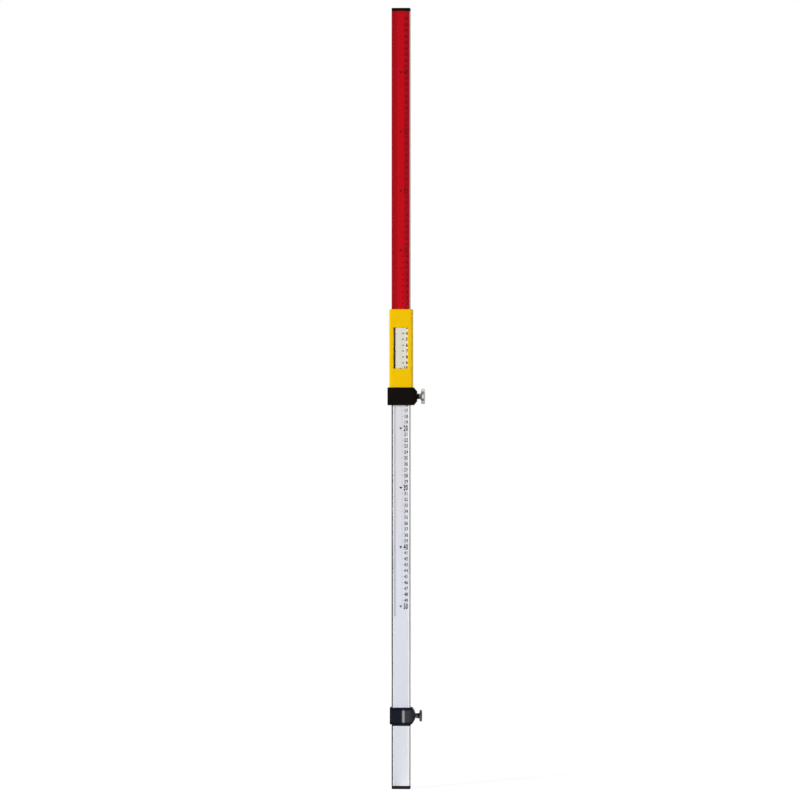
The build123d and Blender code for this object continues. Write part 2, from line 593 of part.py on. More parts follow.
PIECES = {
    "foot_cap": end_cap(),
    "foot_shoe": foot_shoe(),
    "shoe_packing": shoe_packing(),
    "shoe_rivets": shoe_rivet(RIVET_LEVELS[0]) + shoe_rivet(RIVET_LEVELS[1]),
    "inner_rod": inner_rod(),
    "rod_guide": rod_guide(),
    "guide_pin": guide_pin(),
    "main_profile": main_profile(),
    "top_cap": top_cap(),
    "guide_bush": guide_bush(),
    "red_scale_strip": red_scale_strip(),
    "silver_scale_strip": silver_scale_strip(),
    "lower_collar": lower_collar(),
    "lower_collar_screws": lower_collar_screws(),
    "lower_thread_insert": thread_insert(LOWER_INSERT_START, LOWER_BOSS_FACE, LOWER_CLAMP_LEVEL),
    "lower_clamp_pad": clamp_pad(LOWER_SEAT, LOWER_CLAMP_LEVEL),
    "lower_clamp_stud": clamp_stud(LOWER_SEAT, LOWER_BOSS_FACE, LOWER_CLAMP_LEVEL),
    "lower_clamp_knob": clamp_knob(LOWER_BOSS_FACE, LOWER_CLAMP_LEVEL, LOWER_HUB, LOWER_DISC),
    "sliding_sleeve": sliding_sleeve(),
    "sleeve_glides": sleeve_glide(GLIDE_LEVELS[0]) + sleeve_glide(GLIDE_LEVELS[1]),
    "upper_collar": upper_collar(),
    "upper_collar_screws": upper_collar_screws(),
    "upper_thread_insert": thread_insert(UPPER_INSERT_START, UPPER_BOSS_FACE, UPPER_CLAMP_LEVEL),
    "upper_clamp_pad": clamp_pad(UPPER_SEAT, UPPER_CLAMP_LEVEL),
    "upper_clamp_stud": clamp_stud(UPPER_SEAT, UPPER_BOSS_FACE, UPPER_CLAMP_LEVEL),
    "upper_clamp_knob": clamp_knob(UPPER_BOSS_FACE, UPPER_CLAMP_LEVEL, UPPER_HUB, UPPER_DISC),
}

os.makedirs("parts", exist_ok=True)
for name, piece in PIECES.items():
    export_step(piece, f"parts/{name}.step")
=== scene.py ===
import math

import bmesh
import bpy
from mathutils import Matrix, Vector


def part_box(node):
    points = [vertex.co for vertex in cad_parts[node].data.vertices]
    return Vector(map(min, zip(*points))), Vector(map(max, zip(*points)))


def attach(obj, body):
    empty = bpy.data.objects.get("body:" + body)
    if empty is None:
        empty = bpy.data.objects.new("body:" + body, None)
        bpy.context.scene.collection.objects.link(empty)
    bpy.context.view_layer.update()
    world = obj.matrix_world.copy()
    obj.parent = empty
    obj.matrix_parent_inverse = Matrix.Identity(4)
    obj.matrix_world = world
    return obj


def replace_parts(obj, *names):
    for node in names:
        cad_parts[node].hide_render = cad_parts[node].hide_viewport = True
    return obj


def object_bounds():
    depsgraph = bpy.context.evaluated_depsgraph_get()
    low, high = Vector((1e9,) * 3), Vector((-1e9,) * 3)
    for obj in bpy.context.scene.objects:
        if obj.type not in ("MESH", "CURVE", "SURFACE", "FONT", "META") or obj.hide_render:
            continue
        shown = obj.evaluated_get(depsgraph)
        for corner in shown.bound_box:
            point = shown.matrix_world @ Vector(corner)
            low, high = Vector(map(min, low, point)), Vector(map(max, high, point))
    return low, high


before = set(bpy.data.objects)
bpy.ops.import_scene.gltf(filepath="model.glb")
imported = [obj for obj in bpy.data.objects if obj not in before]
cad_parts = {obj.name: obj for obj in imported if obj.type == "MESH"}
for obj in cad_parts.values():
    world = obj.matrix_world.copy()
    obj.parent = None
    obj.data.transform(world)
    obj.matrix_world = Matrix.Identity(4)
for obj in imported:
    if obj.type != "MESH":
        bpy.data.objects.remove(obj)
cad_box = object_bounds()

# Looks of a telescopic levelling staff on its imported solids, in metres.
# +Z runs up the staff, -Y is its graduated front and +X is the side of the two clamp knobs.

# Printed scale
CENTIMETRE = 0.010
TICK_PITCH = 0.001
TICK_WIDTH = 0.00009
WHOLE_TICK_WIDTH = 0.0004
TICK_START = 0.0011
TICK_LENGTH = 0.0014
HALF_TICK_LENGTH = 0.0021
TICKS_TO_HALF = 5
TICKS_TO_WHOLE = 10
WHOLE_TICK_LENGTH = 0.0031
INK_PROUD = 0.00004
INK_SUNK = 0.00001
FIGURE_HEIGHT = 0.0060
FIGURE_SPACING = 0.0034
SINGLE_ACROSS = 0.0102
SINGLE_SQUEEZE = 0.85
SINGLE_WEIGHT = 0.036
DOUBLE_ACROSS = 0.0105
DOUBLE_SQUEEZE = 0.75
DOUBLE_WEIGHT = 0.024
BOLD_HEIGHT = 0.0102
BOLD_SPACING = 0.0038
BOLD_ACROSS = 0.0101
BOLD_SQUEEZE = 0.50
BOLD_WEIGHT = 0.030
DASH_START = 0.0024
DASH_LENGTH = 0.0028
DASH_WIDTH = 0.0015
POINTER_ACROSS = -0.0002
POINTER_RADIUS = 0.0027
SILVER_LAST_FIGURE = 50
RED_LAST_FIGURE = 49
SCALE_END = 0.501
DECADE = 10
PRINT_DROP = 0.0006
STRIP_MARGIN_EDGE = -0.0083
SILVER_MARGIN_FADE = 0.0009
RED_MARGIN_FADE = 0.0032
SILVER_MARGIN_FOOT = 0.2915
MARGIN_FOOT_FADE = 0.0004
SILVER_MARGIN_HEAD = 0.600
# Zone of the silver strip under the slide's window, with painted yellow bounce light
BOUNCE_ZONE_FOOT = 0.648
BOUNCE_ZONE_HEAD = 0.706
# Painted shadow of the slide window's left edge on the silver strip
WINDOW_SHADOW_EDGE = -0.0096
WINDOW_SHADOW_FADE = 0.0005
# Painted shading of the red strip: lighter down its middle, darker towards its sides
RED_LIT_MIDDLE_FADE = (0.0035, 0.0085)
GLYPH_RESOLUTION = 3
GLYPH_HALF_DEPTH = 0.5
MERGE_DISTANCE = 1e-7

# Zones of the mouldings and the extrusion, as places where a change starts and ends
RIB_FADE = (0.0114, 0.0122)
# Corners of the extrusion painted greyer, a painted shade on its rounded edges
SHADED_CORNER_FADE = (0.0137, 0.0143)
# Left front corner painted darker still, a painted shade
LEFT_CORNER_SHADE_FADE = (-0.0131, -0.0137)
FRONT_DEPTH = -0.0078
PAINT_INNER_FADE = (0.0122, 0.0126)
PAINT_OUTER_FADE = (0.0150, 0.0146)
PAINT_RISE = 0.0002
# Paler sides of the sleeve, a painted highlight
SLEEVE_SHEEN_FADE = (0.0166, 0.0192)
SOLE_TONE_FADE = (0.0060, 0.0050)

# Clamp screws
STUD_RADIUS = 0.0030
STUD_BORE = 0.00305
STUD_POINT_RADIUS = 0.0020
STUD_POINT_LENGTH = 0.0013
STUD_IN_KNOB = 0.00605
THREAD_PITCH = 0.001
THREAD_DEPTH = 0.00055
THREAD_STEPS = 8
STUD_SEGMENTS = 40
KNURL_PITCH = 0.0019
KNURL_DEPTH = 0.00020
KNURL_LAND = 0.75
KNURL_STEPS = 8
KNOB_EDGE = 0.0007
KNOB_SOFTNESS = 0.0003
KNOB_DISH_DEPTH = 0.0006
KNOB_DISH_MARGIN = 0.0022
FLARE_START = 0.25
ROUNDED_SHARE = 0.45
UPPER_KNOB_THICKNESS = 0.0056
UPPER_HUB_RADIUS = 0.0046
UPPER_HUB_FLARE = 0.0012
UPPER_NECK_LENGTH = 0.0029
NECK_FADE = 0.0002
LOWER_KNOB_THICKNESS = 0.0041
LOWER_HUB_RADIUS = 0.0043
LOWER_HUB_FLARE = 0.0004
# Black band painted on the lower knob's hub next to its disc, a painted shade
HUB_SHADE_START = 0.0040
HUB_SHADE_END = 0.0058
SHARP_ANGLE = math.radians(32)
POLE_RADIUS = 1e-9

# Lacquered band of the lower collar
LACQUER_FOOT = 0.0037
LACQUER_HEAD = 0.0048
LACQUER_FADE = 0.0012
LACQUER_DEPTH = -0.0090
LACQUER_INNER = 0.0120
LACQUER_OUTER = 0.0225
LACQUER_THIN = 0.25
LACQUER_TINT = (0.84, 0.90, 1.0, 1.0)

# Photograph's frame
PHOTO_SIDE = 800
PIXEL = 0.0016855
AXIS_COLUMN = 401.2
SOLE_ROW = 789.17
CAMERA_DISTANCE = 7.0
VIEW_TURN = math.radians(3.5)
SENSOR = 36.0
FARTHEST_SEEN = 200

# Studio
AMBIENT = 0.02
FLOOR_NEAR_GLOW = 0.88
FLOOR_FAR_GLOW = 1.0
FLOOR_GLOW_RISE = (0.5, 5.0)
FLOOR_HALF_SIDE = 30
FLOOR_DROP = 0.0005
ROOM_NEAR = 0.02
ROOM_REACH = 7.0
ROOM_HEIGHT = 5.0
ROOM_RISE = 0.0006
ROOM_STEP = 12
ROOM_DARK = 0.006
ROOM_FLANK = 0.035
ROOM_GREY = 0.52
LEFT_FADE = (-23, 1)
FLANK_FADE = (34, 14)
RIGHT_FADE = (38, 50)
BACK_FADE = (-150, -172)
LEFT_WALL_START = (-118, -104)
LEFT_WALL_END = (-66, -80)
FOOT_FADE = (0.20, 0.10)
CEILING_GREY = 0.08
CEILING_SIDES = (-3, 3, -4.7, -0.24, 3.4)
LOW_CARD_GREY = 0.015
LOW_CARD_SIDES = (-0.4, 0.4, -0.45, -0.06, 0.36)
CARD_CLOUD_SIZE = 0.5
CARD_CLOUD_GREY = 0.02
LAMPS = {
    "key_light": {"centre": (-1.84, -1.97, 0.9), "width": 0.3, "height": 1.5, "power": 92},
    "side_light": {"centre": (3.0, 0.0, 1.0), "width": 0.8, "height": 1.8, "power": 60},
    "back_light": {"centre": (-0.8, 3.2, 1.6), "width": 1.6, "height": 1.8, "power": 55},
}


def paint(red, green, blue):
    """Linear colour of an sRGB colour of 0 to 255."""
    levels = []
    for level in (red, green, blue):
        part = level / 255
        levels.append(part / 12.92 if part <= 0.04045 else ((part + 0.055) / 1.055) ** 2.4)
    return (*levels, 1.0)


class Value:
    """A number in a node tree. Sums with it add Math nodes to that tree."""

    def __init__(self, graph, socket):
        self.graph = graph
        self.socket = socket

    def output(self, name):
        """Another output of the same node."""
        return Value(self.graph, self.socket.node.outputs[name])

    def math(self, operation, first, second=0.0):
        return self.graph.node("ShaderNodeMath", {"operation": operation}, {0: first, 1: second})

    def __add__(self, other):
        return self.math("ADD", self, other)

    def __radd__(self, other):
        return self.math("ADD", other, self)

    def __sub__(self, other):
        return self.math("SUBTRACT", self, other)

    def __rsub__(self, other):
        return self.math("SUBTRACT", other, self)

    def __mul__(self, other):
        return self.math("MULTIPLY", self, other)

    def __rmul__(self, other):
        return self.math("MULTIPLY", other, self)

    def __truediv__(self, other):
        return self.math("DIVIDE", self, other)

    def __rtruediv__(self, other):
        return self.math("DIVIDE", other, self)

    def __pow__(self, other):
        return self.math("POWER", self, other)

    def __mod__(self, other):
        return self.math("FLOORED_MODULO", self, other)

    def __lt__(self, other):
        return self.math("LESS_THAN", self, other)

    def __gt__(self, other):
        return self.math("GREATER_THAN", self, other)

    def __abs__(self):
        return self.math("ABSOLUTE", self)

    def __floor__(self):
        return self.math("FLOOR", self)


class Graph:
    """A node tree under construction."""

    def __init__(self, tree):
        self.tree = tree
        tree.nodes.clear()

    def node(self, kind, settings=None, sockets=None, output=0):
        """Adds a node of any kind: its settings first, then its sockets' values or links."""
        node = self.tree.nodes.new(kind)
        for name, setting in (settings or {}).items():
            setattr(node, name, setting)
        for name, given in (sockets or {}).items():
            for value in given if isinstance(given, list) else [given]:
                if isinstance(value, Value):
                    self.tree.links.new(value.socket, node.inputs[name])
                else:
                    node.inputs[name].default_value = value
        return Value(self, node.outputs[output]) if node.outputs else None

    def ramp(self, value, start, end):
        """0 below start, 1 above end and a smooth rise between them."""
        settings = {"interpolation_type": "SMOOTHSTEP"}
        return self.node(
            "ShaderNodeMapRange", settings, {"Value": value, "From Min": start, "From Max": end}
        )

    def step(self, value, edge, fade):
        """0 below an edge and 1 above it, softened by a fade. A fade below 0 turns it round."""
        return self.ramp(value, edge - fade, edge + fade)


class Finish(Graph):
    """A material under construction, on the piece's own coordinates."""

    def __init__(self, name):
        self.material = bpy.data.materials.new(name)
        self.material.use_nodes = True
        super().__init__(self.material.node_tree)
        self.place = self.node("ShaderNodeTexCoord", output="Object")
        axes = self.node("ShaderNodeSeparateXYZ", sockets={"Vector": self.place})
        self.across = axes.output("X")
        self.depth = axes.output("Y")
        self.level = axes.output("Z")

    def grain(self, size, stretch=(1, 1, 1), detail=2.0, place=None):
        """Noise of 0 to 1 with features of that size, longer along the stretched axes."""
        scale = tuple(1 / (size * part) for part in stretch)
        sockets = {"Vector": place or self.place, "Scale": scale}
        mapped = self.node("ShaderNodeMapping", sockets=sockets)
        sockets = {"Vector": mapped, "Scale": 1.0, "Detail": detail}
        return self.node("ShaderNodeTexNoise", sockets=sockets)

    def specks(self, size):
        """Distance to the nearest of many scattered points, in units of their spacing."""
        sockets = {"Vector": self.place, "Scale": 1 / size}
        return self.node("ShaderNodeTexVoronoi", sockets=sockets)

    def turned(self, level):
        """Place on a piece turned about a line along X: its place along the line and its radius."""
        radius = (self.depth ** 2.0 + (self.level - level) ** 2.0) ** 0.5
        return self.node("ShaderNodeCombineXYZ", sockets={"X": self.across, "Y": radius})

    def blend(self, factor, first, second):
        """Colour between two colours."""
        return self.node("ShaderNodeMix", {"data_type": "RGBA"}, {0: factor, 6: first, 7: second}, 2)

    def surface(self, colour, roughness, height, relief, others):
        """Material of these looks and other sockets. Relief is the depth of the bump that height makes."""
        bump = self.node("ShaderNodeBump", sockets={"Height": height, "Distance": relief})
        sockets = {"Base Color": colour, "Roughness": roughness, "Normal": bump, **others}
        shader = self.node("ShaderNodeBsdfPrincipled", sockets=sockets)
        self.node("ShaderNodeOutputMaterial", sockets={"Surface": shader})
        return self.material


# Finishes

def drawn_aluminium(zero):
    """Anodised extrusion: fine die lines, bright ribs, corners painted greyer and the left front corner
    darker still as painted shade, and a red front above zero.
    """
    finish = Finish("drawn_aluminium")
    lines = finish.grain(0.00035, stretch=(1, 1, 900), detail=3.0)
    clouds = finish.grain(0.030, stretch=(1, 1, 6))
    side = abs(finish.across)
    rib = finish.ramp(side, *RIB_FADE)
    # Painted shade: the rounded corners are coloured greyer
    corner = finish.ramp(side, *SHADED_CORNER_FADE)
    # Painted shade: the left front corner is coloured dark grey
    left_corner_shade = finish.ramp(finish.across, *LEFT_CORNER_SHADE_FADE) * (finish.depth < FRONT_DEPTH)
    plain = finish.blend(clouds, paint(239, 242, 251), paint(243, 246, 253))
    colour = finish.blend(rib, plain, paint(253, 253, 255))
    colour = finish.blend(corner, colour, paint(228, 228, 232))
    colour = finish.blend(left_corner_shade, colour, paint(122, 122, 128))
    front = finish.ramp(side, *PAINT_INNER_FADE) * (finish.depth < FRONT_DEPTH)
    front = front * finish.ramp(finish.across, *PAINT_OUTER_FADE)
    painted = front * finish.ramp(finish.level, zero, zero + PAINT_RISE)
    colour = finish.blend(painted, colour, paint(162, 20, 28))
    roughness = 0.22 + 0.05 * lines - 0.04 * rib
    metallic = (0.95 - 0.50 * rib * (1 - corner)) * (1 - painted)
    others = {"Metallic": metallic, "Specular IOR Level": 0.2}
    return finish.surface(colour, roughness, lines, relief=0.000001, others=others)


def satin_rod():
    """Satin anodised tube of the telescoping foot, with faint running marks along it."""
    finish = Finish("satin_rod")
    lines = finish.grain(0.0006, stretch=(1, 1, 400), detail=3.0)
    clouds = finish.grain(0.040, stretch=(1, 1, 5))
    plain = finish.blend(clouds, paint(218, 220, 226), paint(226, 228, 233))
    colour = finish.blend(0.4 * lines, plain, paint(196, 198, 205))
    roughness = 0.36 + 0.10 * lines
    others = {"Metallic": 0.5, "Specular IOR Level": 0.2}
    return finish.surface(colour, roughness, lines, relief=0.000001, others=others)


def strip_margin(finish, fade):
    """1 in the darker printed margin along the left of a strip, and 0 beside it."""
    return 1 - finish.step(finish.across, STRIP_MARGIN_EDGE, fade)


def red_print():
    """Red strip with a darker margin, faint streaks along it, a satin varnish and painted shading that is
    lighter down its middle than towards its sides.
    """
    finish = Finish("red_print")
    streaks = finish.grain(0.0012, stretch=(1, 1, 120))
    mottle = finish.grain(0.0005, detail=4.0)
    # Painted shading: the middle of the red strip is coloured lighter than its sides
    middle = 1 - finish.ramp(abs(finish.across), *RED_LIT_MIDDLE_FADE)
    side = finish.blend(streaks, paint(160, 16, 25), paint(172, 17, 26))
    colour = finish.blend(middle, side, paint(194, 12, 26))
    colour = finish.blend(0.5 * strip_margin(finish, RED_MARGIN_FADE), colour, paint(146, 18, 27))
    roughness = 0.36 + 0.12 * mottle
    return finish.surface(colour, roughness, mottle, relief=0.000003, others={"Specular IOR Level": 0.05})


def silver_print():
    """Pale strip with a greyer margin beside its graduated length, with painted yellow bounce light and a
    painted shadow of the window's left edge where the slide rests.
    """
    finish = Finish("silver_print")
    streaks = finish.grain(0.0009, stretch=(1, 1, 200))
    mottle = finish.grain(0.0004, detail=4.0)
    foot = finish.step(finish.level, SILVER_MARGIN_FOOT, MARGIN_FOOT_FADE)
    upper = finish.ramp(finish.level, SILVER_MARGIN_FOOT, SILVER_MARGIN_HEAD)
    cool = finish.blend(streaks, paint(223, 226, 237), paint(229, 232, 242))
    neutral = finish.blend(streaks, paint(216, 215, 221), paint(224, 223, 228))
    plain = finish.blend(upper, cool, neutral)
    # Painted yellow bounce light from the slide, where its window sits
    bounce_zone = finish.ramp(finish.level, BOUNCE_ZONE_FOOT, BOUNCE_ZONE_HEAD)
    plain = finish.blend(bounce_zone, plain, paint(219, 218, 206))
    margin = strip_margin(finish, SILVER_MARGIN_FADE) * foot
    colour = finish.blend(margin, plain, paint(196, 195, 201))
    # Painted shadow cast by the left edge of the slide's window
    window_shadow = bounce_zone * finish.step(finish.across, WINDOW_SHADOW_EDGE, -WINDOW_SHADOW_FADE)
    colour = finish.blend(window_shadow, colour, paint(166, 154, 114))
    roughness = 0.34 + 0.14 * mottle
    return finish.surface(colour, roughness, mottle, relief=0.000003, others={"Specular IOR Level": 0.1})


def yellow_moulding():
    """Moulded sleeve: faint flow marks, a fine grain and paler edges that are a painted highlight on its
    rounded sides.
    """
    finish = Finish("yellow_moulding")
    flow = finish.grain(0.014, stretch=(1, 1, 2.5), detail=3.0)
    grain = finish.grain(0.00028, detail=2.0)
    # Painted highlight: the sleeve's rounded sides are coloured paler
    edge = finish.ramp(abs(finish.across), *SLEEVE_SHEEN_FADE) * (0.5 + 0.5 * finish.grain(0.003))
    plain = finish.blend(flow, paint(236, 188, 2), paint(244, 198, 4))
    colour = finish.blend(edge, plain, paint(232, 198, 46))
    roughness = 0.34 + 0.10 * grain + 0.06 * flow
    return finish.surface(colour, roughness, grain, relief=0.000008, others={"Specular IOR Level": 0.05})


def black_moulding():
    """Matte black moulding with a spark-eroded grain, lighter and bluer within a few millimetres of the
    sole.
    """
    finish = Finish("black_moulding")
    grain = finish.grain(0.00035, detail=3.0)
    clouds = finish.grain(0.012)
    colour = finish.blend(clouds, paint(13, 10, 8), paint(19, 16, 13))
    # Lighter, bluer black towards the sole
    sole_tone = finish.blend(clouds, paint(30, 30, 38), paint(41, 41, 49))
    colour = finish.blend(finish.ramp(finish.level, *SOLE_TONE_FADE), colour, sole_tone)
    roughness = 0.48 + 0.18 * grain
    return finish.surface(colour, roughness, grain, relief=0.000025, others={"Specular IOR Level": 0.08})


def black_gloss_moulding(foot, head):
    """Blue-black moulding between two levels, lacquered between plain bands along its edges."""
    finish = Finish("black_gloss_moulding")
    marks = finish.grain(0.0016, stretch=(3, 3, 0.4), detail=5.0)
    clouds = finish.grain(0.010)
    colour = finish.blend(clouds, paint(6, 10, 27), paint(10, 15, 34))
    above = finish.step(finish.level, foot + LACQUER_FOOT, LACQUER_FADE)
    below = finish.step(finish.level, head - LACQUER_HEAD, -LACQUER_FADE)
    front = finish.step(finish.depth, LACQUER_DEPTH, -LACQUER_FADE)
    inner = finish.ramp(finish.across, LACQUER_OUTER, LACQUER_INNER)
    lacquer = above * below * front * (LACQUER_THIN + (1 - LACQUER_THIN) * inner)
    roughness = 0.34 - 0.18 * lacquer + 0.08 * marks
    others = {"Specular IOR Level": 0.3, "Coat Weight": lacquer, "Coat Roughness": 0.19, "Coat IOR": 3.8}
    others |= {"Coat Tint": LACQUER_TINT}
    return finish.surface(colour, roughness, marks, relief=0.000004, others=others)


def glide_plastic():
    """Off-white acetal with polished running streaks."""
    finish = Finish("glide_acetal")
    streaks = finish.grain(0.0006, stretch=(1, 1, 30))
    colour = finish.blend(streaks, paint(226, 223, 214), paint(238, 236, 229))
    roughness = 0.28 + 0.20 * streaks
    return finish.surface(colour, roughness, streaks, relief=0.000006, others={"Specular IOR Level": 0.5})


def turned_steel(level, hub_start):
    """Dark knob turned about a line along X, with rings of tool marks and a black band painted round its
    hub next to the disc as painted shade.
    """
    finish = Finish("turned_steel")
    rings = finish.grain(0.00022, place=finish.turned(level), detail=3.0)
    stain = finish.grain(0.0025, detail=3.0)
    along = finish.across - hub_start
    # Painted shade: a black, non-metallic band where the hub meets the disc
    ring = finish.step(along, HUB_SHADE_START, NECK_FADE) * finish.step(along, HUB_SHADE_END, -NECK_FADE)
    steel = finish.blend(stain, paint(96, 96, 100), paint(122, 122, 126))
    colour = finish.blend(ring, steel, paint(12, 12, 13))
    roughness = 0.20 + 0.14 * rings + 0.25 * ring
    others = {"Metallic": 1 - ring, "Specular IOR Level": 0.1}
    return finish.surface(colour, roughness, rings, relief=0.000005, others=others)


def nickel_plate(level, neck_end, disc_start):
    """Plated knob turned about a line along X: a dark moulded neck, a dull hub and a bright disc."""
    finish = Finish("nickel_plate")
    rings = finish.grain(0.00022, place=finish.turned(level), detail=3.0)
    stain = finish.grain(0.0025, detail=3.0)
    plated = finish.step(finish.across, neck_end, NECK_FADE)
    metal = finish.blend(stain, paint(228, 225, 219), paint(242, 240, 236))
    colour = finish.blend(plated, paint(22, 22, 18), metal)
    disc = finish.step(finish.across, disc_start, NECK_FADE)
    roughness = 0.42 - 0.26 * disc + 0.12 * rings
    others = {"Metallic": plated, "Specular IOR Level": 0.15}
    return finish.surface(colour, roughness, rings, relief=0.000005, others=others)


def small_hardware(name, dark, light, smooth):
    """Metal of small screws and inserts, with fine scratches in all directions."""
    finish = Finish(name)
    scratches = finish.grain(0.00018, stretch=(5, 1, 1), detail=4.0)
    stain = finish.grain(0.0018, detail=2.0)
    colour = finish.blend(stain, dark, light)
    roughness = smooth + 0.18 * scratches
    return finish.surface(colour, roughness, scratches, relief=0.000004, others={"Metallic": 1.0})


def scale_ink(name, thin, full):
    """Printed ink, a little thinner in specks."""
    finish = Finish(name)
    specks = finish.ramp(finish.specks(0.00025), 0.25, 0.75)
    colour = finish.blend(specks, full, thin)
    roughness = 0.42 + 0.16 * specks
    return finish.surface(colour, roughness, specks, relief=0.000002, others={"Specular IOR Level": 0.1})


# Geometry trees

class GeometryTree(Graph):
    """A geometry tree under construction, with named inputs."""

    def __init__(self, name, inputs):
        tree = bpy.data.node_groups.new(name, "GeometryNodeTree")
        tree.is_modifier = True
        super().__init__(tree)
        face = tree.interface
        face.new_socket("Geometry", in_out="OUTPUT", socket_type="NodeSocketGeometry")
        face.new_socket("Geometry", in_out="INPUT", socket_type="NodeSocketGeometry")
        self.identifiers = {}
        for label, kind in inputs.items():
            socket = face.new_socket(label, in_out="INPUT", socket_type="NodeSocket" + kind)
            self.identifiers[label] = socket.identifier
        self.given = self.node("NodeGroupInput")

    def vector(self, across, depth, level):
        return self.node("ShaderNodeCombineXYZ", sockets={0: across, 1: depth, 2: level})

    def row(self, count):
        """Points for as many marks, and their numbers from 0."""
        points = self.node("GeometryNodeMeshLine", sockets={"Count": count})
        return points, self.node("GeometryNodeInputIndex")

    def finish(self, geometry):
        """Ends the tree in real geometry of one material."""
        real = self.node("GeometryNodeRealizeInstances", sockets={"Geometry": geometry})
        sockets = {"Geometry": real, "Material": self.given.output("Material")}
        dressed = self.node("GeometryNodeSetMaterial", sockets=sockets)
        self.node("NodeGroupOutput", sockets={"Geometry": dressed})

    def grow(self, name, values, blank=None):
        """Plain mesh that the tree makes of these inputs, and of a blank where it has one."""
        holder = bpy.data.objects.new(name, blank or bpy.data.meshes.new(name))
        bpy.context.scene.collection.objects.link(holder)
        modifier = holder.modifiers.new(name, "NODES")
        modifier.node_group = self.tree
        for label, value in values.items():
            modifier[self.identifiers[label]] = value
        sight = bpy.context.evaluated_depsgraph_get()
        mesh = bpy.data.meshes.new_from_object(holder.evaluated_get(sight))
        holder.modifiers.remove(modifier)
        bpy.data.objects.remove(holder)
        mesh.name = name
        return mesh


def tick_tree():
    """Ticks along a strip, longer at each half and whole centimetre."""
    inputs = {"Count": "Int", "Zero": "Float", "Pitch": "Float", "Face": "Float", "Start": "Float"}
    inputs |= {"Length": "Float", "Half Length": "Float", "Whole Length": "Float"}
    inputs |= {"Width": "Float", "Whole Width": "Float", "Thickness": "Float", "Material": "Material"}
    tree = GeometryTree("scale_ticks", inputs)
    given = tree.given
    points, index = tree.row(given.output("Count"))
    number = index + 1
    half = (number % TICKS_TO_HALF) < 0.5
    whole = (number % TICKS_TO_WHOLE) < 0.5
    half_step = given.output("Half Length") - given.output("Length")
    whole_step = given.output("Whole Length") - given.output("Half Length")
    length = given.output("Length") + half * half_step + whole * whole_step
    width = given.output("Width") + whole * (given.output("Whole Width") - given.output("Width"))
    middle = given.output("Start") + length / 2
    level = given.output("Zero") + number * given.output("Pitch")
    place = tree.vector(middle, given.output("Face"), level)
    points = tree.node("GeometryNodeSetPosition", sockets={"Geometry": points, "Position": place})
    bar = tree.node("GeometryNodeMeshCube", sockets={"Size": (1, 1, 1)})
    size = tree.vector(length, given.output("Thickness"), width)
    sockets = {"Points": points, "Instance": bar, "Scale": size}
    tree.finish(tree.node("GeometryNodeInstanceOnPoints", sockets=sockets))
    return tree


def figure_tree():
    """Upright figures of one or two digits along a strip. Fine ones leave out each tenth."""
    inputs = {"Digits": "Collection", "First": "Float", "Count": "Int", "Step": "Float"}
    inputs |= {"Keep Tens": "Float", "Zero": "Float", "Pitch": "Float", "Face": "Float"}
    inputs |= {"Across": "Float", "Spacing": "Float", "Material": "Material"}
    tree = GeometryTree("scale_figures", inputs)
    given = tree.given
    points, index = tree.row(given.output("Count"))
    number = given.output("First") + index * given.output("Step")
    tens = math.floor(number / DECADE)
    ones = number - tens * DECADE
    kept = (ones > 0.5) + given.output("Keep Tens")
    level = given.output("Zero") + number * given.output("Pitch")
    settings = {"transform_space": "ORIGINAL"}
    sockets = {"Collection": given.output("Digits"), "Separate Children": True}
    digits = tree.node("GeometryNodeCollectionInfo", settings, sockets)
    placed = []
    tens_across = given.output("Across") - given.output("Spacing")
    shown_tens = kept * (tens > 0.5)
    for digit, shown, across in ((tens, shown_tens, tens_across), (ones, kept, given.output("Across"))):
        place = tree.vector(across, given.output("Face"), level)
        sockets = {"Geometry": points, "Position": place}
        moved = tree.node("GeometryNodeSetPosition", sockets=sockets)
        sockets = {"Points": moved, "Selection": shown, "Instance": digits}
        sockets |= {"Pick Instance": True, "Instance Index": digit}
        placed.append(tree.node("GeometryNodeInstanceOnPoints", sockets=sockets))
    tree.finish(tree.node("GeometryNodeJoinGeometry", sockets={"Geometry": placed}))
    return tree


def pointer_tree():
    """Three-sided pointers along a strip, point to the ticks."""
    inputs = {"Count": "Int", "Zero": "Float", "Pitch": "Float", "Face": "Float"}
    inputs |= {"Across": "Float", "Radius": "Float", "Thickness": "Float", "Material": "Material"}
    tree = GeometryTree("scale_pointers", inputs)
    given = tree.given
    points, index = tree.row(given.output("Count"))
    level = given.output("Zero") + (index + 1) * given.output("Pitch")
    place = tree.vector(given.output("Across"), given.output("Face"), level)
    points = tree.node("GeometryNodeSetPosition", sockets={"Geometry": points, "Position": place})
    sockets = {"Vertices": 3, "Radius": given.output("Radius"), "Depth": given.output("Thickness")}
    prism = tree.node("GeometryNodeMeshCylinder", sockets=sockets)
    turn = (math.radians(90), math.radians(90), 0)
    sockets = {"Points": points, "Instance": prism, "Rotation": turn}
    tree.finish(tree.node("GeometryNodeInstanceOnPoints", sockets=sockets))
    return tree


def about_axis(tree):
    """Place round a line along X at the tree's level: position, radius and turns from 0 to 1."""
    axes = tree.node("ShaderNodeSeparateXYZ", sockets={0: tree.node("GeometryNodeInputPosition")})
    depth = axes.output("Y")
    rise = axes.output("Z") - tree.given.output("Level")
    radius = (depth ** 2.0 + rise ** 2.0) ** 0.5
    angle = tree.node("ShaderNodeMath", {"operation": "ARCTAN2"}, {0: rise, 1: depth})
    return axes.output("X"), depth, rise, radius, angle / math.tau


def draw_in(tree, shrink, across, depth, rise):
    """Ends a tree that draws each point of its blank towards the axis."""
    place = tree.vector(across, depth * shrink, tree.given.output("Level") + rise * shrink)
    sockets = {"Geometry": tree.given.output("Geometry"), "Position": place}
    tree.finish(tree.node("GeometryNodeSetPosition", sockets=sockets))
    return tree


